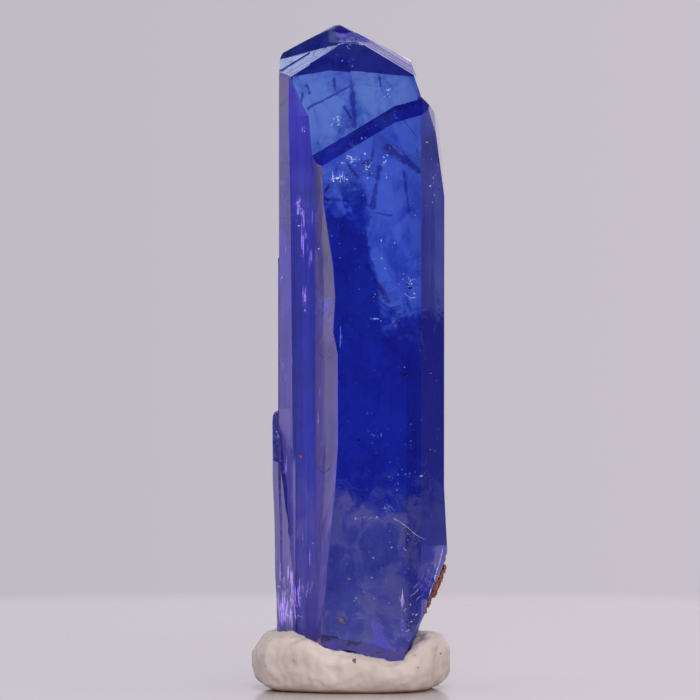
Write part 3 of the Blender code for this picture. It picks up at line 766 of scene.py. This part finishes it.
insideLook = {
    "white": linear(236, 232, 255),
    "deepWhite": linear(198, 200, 250),
    "lilac": linear(214, 184, 255),
    "blue": linear(120, 160, 255),
    "dust": linear(128, 158, 232),
    "paleDust": linear(206, 200, 232),
    "crack": linear(64, 50, 128),
    # emission strengths of the glints, growth tubes, healed veils and pale scratches: painted glow
    "glow": 0.75,
    "deepGlow": 0.95,
    "seed": 11,
    # depths and the room that flakes keep to the surface, in mm
    "crackDepth": 0.02,
    "scratchDepth": 0.04,
    "tubeReach": 0.5,
    "veilMargin": 0.04,
    "pointMargin": 0.01,
    # clusters of glinting flakes that glow with painted light: pixel of the middle, depth in mm, how many,
    # spread in pixels across and down
    "paintedGlints": [
        (351, 158, 0.15, 34, 3.0, 1.6), (345, 164, 0.15, 14, 4, 2), (367, 171, 0.15, 36, 2.5, 7),
        (338, 179, 0.1, 26, 5, 1.2), (386, 165, 0.2, 26, 2.5, 8), (388, 90, 0.1, 14, 1.0, 0.8),
        (383, 94, 0.1, 6, 3, 3), (338, 119, 0.1, 18, 1.4, 1.4), (335, 123, 0.1, 8, 3, 3),
        (345, 95, 0.4, 8, 28, 12), (363, 139, 0.06, 14, 2, 0.7), (299, 205, 0.04, 40, 1.6, 7),
        (302, 250, 0.06, 14, 1.5, 22), (305, 300, 0.06, 20, 0.8, 5), (283, 235, 0.03, 8, 2, 40),
        (304, 129, 0.05, 20, 1.6, 1.5), (434, 182, 0.04, 16, 1.5, 10), (410, 283, 0.2, 30, 3.5, 4),
        (400, 240, 0.4, 10, 8, 25), (320, 300, 0.06, 6, 5, 60), (430, 150, 0.06, 8, 6, 20),
        (357, 47, 0.1, 7, 5, 4), (352, 62, 0.2, 3, 4, 4),
    ],
    # deeper glinting flakes, in the same columns, which also glow with painted light
    "deepPaintedGlints": [
        (374, 319, 0.08, 14, 2.2, 0.4), (404, 473, 0.2, 22, 4, 4), (394, 483, 0.2, 14, 5, 5),
        (386, 509, 0.15, 26, 1.8, 4), (371, 518, 0.1, 22, 7, 0.8), (406, 440, 0.3, 12, 12, 9),
        (375, 437, 0.2, 10, 3, 4), (421, 476, 0.04, 12, 0.7, 0.7), (375, 250, 0.4, 8, 22, 30),
        (405, 622, 0.1, 22, 7, 9), (408, 632, 0.08, 18, 3, 6), (310, 590, 0.1, 14, 9, 30),
        (345, 600, 0.25, 8, 16, 25), (380, 580, 0.3, 8, 25, 25), (360, 400, 0.4, 8, 30, 60),
        (277, 433, 0.02, 9, 2, 10), (282, 462, 0.02, 5, 1, 14), (400, 545, 0.2, 10, 10, 5),
        (288, 600, 0.06, 60, 5, 12),
    ],
    # veils of droplets, which glow faintly with painted light: pixel, depth, half width and half height in
    # mm, turn, tilt, how many
    "veils": [
        (408, 527, 0.4, 1.1, 0.7, 20, 35, 300), (390, 508, 0.5, 0.7, 0.4, -35, 50, 160),
        (404, 630, 0.3, 0.7, 0.9, 10, 25, 360), (345, 178, 0.4, 1.3, 0.45, 15, 40, 300),
        (370, 165, 0.6, 0.5, 0.8, -20, 30, 160), (385, 230, 1.0, 1.2, 1.6, 30, 45, 220),
        (396, 285, 1.0, 0.9, 0.9, -30, 40, 220), (330, 95, 0.8, 1.2, 0.7, 25, 50, 150),
        (385, 95, 0.9, 1.0, 0.6, -25, 40, 150), (345, 480, 0.6, 1.4, 1.0, -15, 55, 160),
        (370, 560, 0.6, 1.6, 1.2, 25, 60, 200), (345, 610, 0.5, 1.2, 0.8, -20, 50, 160),
        (437, 570, 0.15, 0.35, 1.3, -12, 10, 240),
    ],
    # upright growth tubes, which glow with painted light: pixel, depth, how many, spread in pixels
    "tubes": [
        (304, 225, 0.06, 14, 1.5, 14), (304, 296, 0.06, 6, 1, 5), (341, 335, 0.08, 4, 0.6, 6),
        (297, 203, 0.05, 6, 2, 4), (286, 612, 0.06, 60, 7, 13), (294, 603, 0.06, 24, 3, 18),
        (303, 560, 0.10, 8, 6, 30), (325, 420, 0.06, 5, 6, 60), (287, 300, 0.06, 6, 4, 90),
        (403, 598, 0.15, 5, 0.7, 4), (341, 180, 0.1, 5, 7, 4), (284, 600, 0.06, 24, 4, 16),
        (310, 225, 0.08, 6, 2, 30),
    ],
    # thin cracks: the pixels they run through, and their half width in mm
    "cracks": [
        ([(292, 385), (299, 380), (306, 378), (314, 377), (322, 376)], 0.026),
        ([(317, 465), (321, 471), (325, 474), (329, 469), (333, 463)], 0.036),
        ([(318, 352), (323, 357), (328, 356), (332, 359)], 0.034),
        ([(280, 161), (290, 162), (300, 160), (308, 160)], 0.014),
        ([(283, 375), (292, 378), (301, 381)], 0.012),
        ([(402, 118), (408, 126), (414, 133), (419, 140)], 0.016),
        ([(393, 144), (400, 149), (408, 157), (417, 153)], 0.014),
        ([(327, 586), (331, 590), (334, 588)], 0.016),
        ([(300, 40), (315, 34), (327, 33)], 0.016),
    ],
    # pale scratches and the edges of the shell-shaped chip, which glow with painted light
    "scratches": [
        ([(410, 596), (415, 593), (421, 587), (426, 578), (429, 569)], 0.014),
        ([(413, 588), (418, 584), (422, 577), (424, 570)], 0.012),
        ([(416, 600), (423, 594), (429, 585), (433, 573), (436, 562)], 0.016),
        ([(428, 598), (432, 586), (437, 572), (441, 556), (443, 547)], 0.020),
        ([(424, 606), (429, 595), (434, 580), (439, 564), (442, 551)], 0.014),
        ([(393, 518), (400, 522), (407, 527), (415, 534), (425, 540)], 0.016),
        ([(402, 591), (403, 598), (404, 604)], 0.020), ([(399, 596), (401, 602)], 0.014),
        ([(372, 319), (375, 318.4), (379, 319.2)], 0.045), ([(295, 205), (298, 202), (302, 198)], 0.030),
        ([(302, 208), (303, 215), (304, 224)], 0.026), ([(331, 179), (336, 178), (341, 177)], 0.020),
        ([(340, 326), (341, 334), (340.6, 344)], 0.022), ([(304, 292), (305, 300)], 0.020),
        ([(404, 293), (410, 298), (416, 297)], 0.014), ([(386, 504), (390, 506), (395, 511)], 0.016),
    ],
    # mineral grains: pixel, depth in mm, radius in mm, colour
    "grains": [
        (405, 530, 0.05, 0.10, (92, 64, 66)), (402, 526, 0.05, 0.06, (100, 76, 80)),
        (408, 534, 0.05, 0.07, (96, 88, 78)), (301, 457, 0.05, 0.09, (168, 78, 74)),
        (302, 460, 0.04, 0.05, (150, 66, 66)), (358, 440, 0.10, 0.09, (14, 12, 40)),
        (405, 375, 0.10, 0.10, (16, 14, 44)), (402, 373, 0.10, 0.05, (18, 16, 46)),
        (341, 620, 0.05, 0.12, (128, 116, 106)), (344, 623, 0.05, 0.07, (112, 100, 92)),
        (338, 618, 0.05, 0.06, (120, 104, 88)), (349, 579, 0.05, 0.09, (128, 112, 104)),
        (347, 583, 0.05, 0.05, (110, 96, 96)), (356, 598, 0.05, 0.08, (110, 150, 215)),
        (354, 601, 0.05, 0.05, (100, 140, 205)), (410, 288, 0.2, 0.09, (24, 26, 84)),
        (407, 284, 0.2, 0.05, (30, 30, 90)), (371, 217, 0.2, 0.06, (70, 76, 110)),
        (439, 189, 0.03, 0.06, (24, 22, 80)), (393, 626, 0.05, 0.06, (120, 104, 100)),
        (398, 618, 0.05, 0.05, (130, 110, 108)),
    ],
    # dust stays off the faces that reach above this height in mm
    "dustTop": 39.5,
    "dustPerSquareMetre": 1500000.0,
    # flakes of each kind: smallest and largest size in mm, thickness, length and tumbling
    "flakes": {
        "glint": (0.007, 0.044, 0.3, 2.3, 1.0),
        "tube": (0.010, 0.034, 0.6, 20.0, 0.006),
        "veil": (0.006, 0.045, 0.4, 0.8, 1.0),
        "dust": (0.007, 0.030, 0.8, 1.0, 1.0),
    },
}


def pointCloud(clusters, seed, reach=0.0):
    # points inside the crystal, from whose place an upright flake of the given reach in mm stays inside
    rng = random.Random(seed)
    bm = bmesh.new()
    for px, py, depth, count, across, down in clusters:
        for step in range(count):
            spot = placeInside(rng.gauss(px, across), rng.gauss(py, down), depth * rng.uniform(0.5, 1.6))
            if spot is None:
                continue
            ends = [spot + Vector((0.0, 0.0, z * mm)) for z in (-reach, 0.0, reach)]
            if all(isInside(end, insideLook["pointMargin"]) for end in ends):
                bm.verts.new(spot)
    return bm


def hairlines(name, lines, depth, material):
    # thin closed tubes that run just under the crystal's surface
    rng = random.Random(insideLook["seed"] + len(name))
    bm = bmesh.new()
    for pixels, radius in lines:
        spots = []
        for (x0, y0), (x1, y1) in zip(pixels, pixels[1:]):
            for step in range(4):
                share = step / 4.0
                jitter = rng.uniform(-0.35, 0.35)
                px, py = x0 + (x1 - x0) * share, y0 + (y1 - y0) * share
                spots.append(placeInside(px + jitter, py + jitter, depth))
        spots.append(placeInside(*pixels[-1], depth))
        spots = [spot for spot in spots if spot is not None]
        rings = []
        for index, spot in enumerate(spots):
            ahead = spots[min(index + 1, len(spots) - 1)] - spots[max(index - 1, 0)]
            side = ahead.cross(Vector((0.0, 1.0, 0.0))).normalized()
            ends = 0.25 if index in (0, len(spots) - 1) else rng.uniform(0.6, 1.15)
            reach = radius * ends * mm
            front = Vector((0.0, -0.5 * reach, 0.0))
            corners = (side * reach, front, -side * reach, -front)
            rings.append([bm.verts.new(spot + corner) for corner in corners])
        for near, far in zip(rings, rings[1:]):
            for i in range(4):
                bm.faces.new((near[i], near[i - 1], far[i - 1], far[i]))
        bm.faces.new(rings[0])
        bm.faces.new(rings[-1][::-1])
    finish(newPiece(name, bm, material))


def mineralGrains():
    look, tree, shader, place = newMaterial("mineralGrain")
    colour = addNode(tree, "ShaderNodeAttribute", attribute_name="grainColour").outputs["Color"]
    shade = ramp(tree, noiseAt(tree, place, 9000.0, 3.0), [(0.35, (0.5, 0.5, 0.5)), (0.65, (1.0, 1.0, 1.0))])
    dress(tree, shader, mixColour(tree, 1.0, colour, shade, "MULTIPLY"), 0.6)
    bm = bmesh.new()
    layer = bm.verts.layers.float_color.new("grainColour")
    for number, (px, py, depth, radius, colour) in enumerate(insideLook["grains"]):
        middle = placeInside(px, py, depth if depth > 0.08 else -0.1 * radius)
        for vert in bmesh.ops.create_icosphere(bm, subdivisions=2, radius=1.0)["verts"]:
            bump = 1.0 + 0.75 * noise.noise(vert.co * 1.3 + Vector((number * 5.1, 0.0, 2.0)))
            tall = 0.8 + 0.3 * math.sin(number)
            shape = Vector((vert.co.x * 1.2, vert.co.y * 0.6, vert.co.z * tall))
            vert.co = middle + shape * bump * radius * mm
            vert[layer] = linear(*colour)
    finish(newPiece("mineralGrains", bm, look))


def surfaceDust(seed):
    # pale specks that stand on the faces, each a low dome
    look, tree, shader, place = newMaterial("paleDust")
    tone = noiseAt(tree, place, 1400.0, 1.0)
    shade = ramp(tree, tone, [(0.40, insideLook["dust"]), (0.60, insideLook["paleDust"])])
    dress(tree, shader, shade, 0.8)
    bm = bmesh.new()
    bm.from_mesh(crystal.data)
    top = insideLook["dustTop"] * mm
    high = [face for face in bm.faces if max(vert.co.z for vert in face.verts) > top]
    bmesh.ops.delete(bm, geom=high, context="FACES")
    scattered("surfaceDust", bm, scatterTree("dustScatter", look, True), look, "dust", seed,
              insideLook["dustPerSquareMetre"])


def healedVeils(seed):
    # tilted sheets of points with gaps, rippled and slightly bowed
    rng = random.Random(seed)
    bm = bmesh.new()
    for px, py, depth, wide, high, turn, tilt, count in insideLook["veils"]:
        middle = placeInside(px, py, depth)
        turn, tilt = math.radians(turn), math.radians(tilt)
        for step in range(count):
            u, v = rng.gauss(0.0, 0.5), rng.gauss(0.0, 0.5)
            if noise.noise(Vector((u * 4.0, v * 4.0, py * 0.1))) < -0.12:
                continue
            ripple = 0.25 * noise.noise(Vector((u * 2.0, v * 2.0, px * 0.1))) + 0.3 * (u * u + v * v)
            x = u * wide * math.cos(turn) - v * high * math.sin(turn)
            z = u * wide * math.sin(turn) + v * high * math.cos(turn)
            spot = middle + Vector((x, (z * math.tan(tilt) * 0.4 + ripple) * 0.6, z)) * mm
            if isInside(spot, insideLook["veilMargin"]):
                bm.verts.new(spot)
    return bm


def makeInclusions():
    seed = insideLook["seed"]
    # the glints, growth tubes, healed veils and pale scratches glow: painted light; the dark cracks don't
    # glow
    white = sparkMaterial("brightPaintedFractureGlint", insideLook["white"], insideLook["glow"])
    deep = sparkMaterial("deepPaintedFractureGlint", insideLook["deepWhite"], insideLook["deepGlow"])
    lilac = sparkMaterial("lilacGlowingGrowthTube", insideLook["lilac"], 1.3 * insideLook["glow"])
    pale = sparkMaterial("paleGlowingHealedVeil", insideLook["blue"], 0.5 * insideLook["glow"], 0.6)
    for name, material, shift in (("paintedGlints", white, 0), ("deepPaintedGlints", deep, 5)):
        points = pointCloud(insideLook[name], seed + shift)
        scattered(name, points, scatterTree(name + "Scatter", material), material, "glint", seed + shift)
    points = pointCloud(insideLook["tubes"], seed + 1, insideLook["tubeReach"])
    scattered("growthTubes", points, scatterTree("tubeScatter", lilac), lilac, "tube", seed + 1)
    points = healedVeils(seed + 2)
    scattered("healedVeils", points, scatterTree("veilScatter", pale), pale, "veil", seed + 2)
    crack = sparkMaterial("darkCrack", insideLook["crack"], 0.0, 0.7)
    hairlines("darkCracks", insideLook["cracks"], insideLook["crackDepth"], crack)
    hairlines("paleScratches", insideLook["scratches"], insideLook["scratchDepth"], white)
    mineralGrains()
    surfaceDust(seed + 3)


makeInclusions()


# the putty it stands in

puttyLook = {
    "colour": linear(217, 204, 194),
    "shade": linear(203, 188, 177),
    "voxel": 0.10,
    "bottomLineColour": linear(206, 158, 128),
    "speck": linear(96, 84, 92),
    "bottomLineHeight": 0.20,
    # dents: depth in mm, scale of the broad and of the fine ones, and the share of the fine ones
    "dentDepth": 0.16,
    "broadDents": 1.1,
    "fineDents": 2.7,
    "fineShare": 0.4,
    # around the crystal, in mm: how far off the putty stays, and from where on it is drawn in
    "clearance": 0.012,
    "drawnFrom": 0.32,
}


def puttyMaterial():
    look, tree, shader, place = newMaterial("whitePutty")
    broad = noiseAt(tree, place, 260.0, 3.0)
    colour = mixColour(tree, mapRange(tree, broad, 0.35, 0.7), puttyLook["colour"], puttyLook["shade"])
    # a darker orange-brown line along the bottom, where it meets the table, and a few dark specks
    level = addNode(tree, "ShaderNodeSeparateXYZ", {"Vector": place}).outputs["Z"]
    ragged = mathNode(tree, "ADD", level, mapRange(tree, broad, 0.3, 0.7, -0.07 * mm, 0.07 * mm, False))
    low = puttyLook["bottomLineHeight"] * mm
    colour = mixColour(tree, mapRange(tree, ragged, low, 0.6 * low), colour, puttyLook["bottomLineColour"])
    specks = noiseAt(tree, place, 2300.0, 2.0, 0.4)
    colour = mixColour(tree, mapRange(tree, specks, 0.735, 0.755), colour, puttyLook["speck"])
    grain = noiseAt(tree, place, 6000.0, 3.0, 0.6)
    soft = noiseAt(tree, place, 1100.0, 3.0, 0.5)
    dress(tree, shader, colour, mapRange(tree, soft, 0.3, 0.7, 0.42, 0.62))
    height = mathNode(tree, "ADD", product(tree, grain, 0.18), soft)
    addRelief(tree, shader, height, 0.7, 0.05)
    return look


def makePutty():
    putty = newPiece("putty", mergedCopy("putty_base"), puttyMaterial())
    remeshed(putty, puttyLook["voxel"])
    low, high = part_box("putty_base")
    bm = bmesh.new()
    bm.from_mesh(putty.data)
    bmesh.ops.smooth_vert(
        bm, verts=bm.verts[:], factor=0.5, use_axis_x=True, use_axis_y=True, use_axis_z=True
    )
    bm.normal_update()
    for vert in bm.verts:
        spot = vert.co / mm
        push = noise.noise(spot * puttyLook["broadDents"] + Vector((2.0, 0.0, 0.0)))
        push += puttyLook["fineShare"] * noise.noise(spot * puttyLook["fineDents"])
        # the foot stays flat
        vert.co += vert.normal * push * puttyLook["dentDepth"] * mm * min(1.0, spot.z / 0.5)
    for vert in bm.verts:
        nearest, normal, index, distance = crystalSurface.find_nearest(vert.co)
        keep, reach = puttyLook["clearance"] * mm, puttyLook["drawnFrom"] * mm
        if (vert.co - nearest).dot(normal) <= 0:
            vert.co = nearest + normal * keep
        elif keep < distance < reach:
            pull = min(1.0, 2.0 * (1.0 - distance / reach))
            vert.co += (nearest - vert.co) * pull * (1.0 - keep / distance)
        vert.co.x = min(max(vert.co.x, low.x), high.x)
        vert.co.y = min(max(vert.co.y, low.y), high.y)
        vert.co.z = max(vert.co.z, 0.0)
    for face in bm.faces:
        face.smooth = True
    bm.to_mesh(putty.data)
    bm.free()
    finish(putty)
    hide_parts("putty_base")
    return putty


putty = makePutty()
print("putty:", len(putty.data.polygons), "faces")


# crumbs of host rock on the broken corner

crustLook = {
    "rust": linear(150, 82, 62),
    "dark": linear(92, 48, 44),
    "pale": linear(186, 142, 122),
    "voxel": 0.035,
    # roughness: depth in mm, scale of the coarse and of the fine grain, and the share of the fine one
    "roughening": 0.05,
    "coarseGrain": 5.0,
    "fineGrain": 12.0,
    "fineShare": 0.6,
}


def crustMaterial():
    look, tree, shader, place = newMaterial("ironStainedRock")
    grains = noiseAt(tree, place, 5200.0, 4.0, 0.65)
    stops = [(0.32, crustLook["dark"]), (0.52, crustLook["rust"]), (0.72, crustLook["pale"])]
    dress(tree, shader, ramp(tree, grains, stops), 0.85)
    addRelief(tree, shader, grains, 0.8, 0.05)
    return look


def makeCrust():
    crust = newPiece("rockCrumbs", mergedCopy("matrix_crust"), crustMaterial())
    remeshed(crust, crustLook["voxel"])
    bm = bmesh.new()
    bm.from_mesh(crust.data)
    bm.normal_update()
    for vert in bm.verts:
        spot = vert.co / mm
        push = noise.noise(spot * crustLook["coarseGrain"])
        push += crustLook["fineShare"] * noise.noise(spot * crustLook["fineGrain"])
        vert.co += vert.normal * push * crustLook["roughening"] * mm
    bm.to_mesh(crust.data)
    bm.free()
    finish(crust)
    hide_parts("matrix_crust")


makeCrust()
print("crumbs are on the broken corner")


bpy.context.view_layer.update()
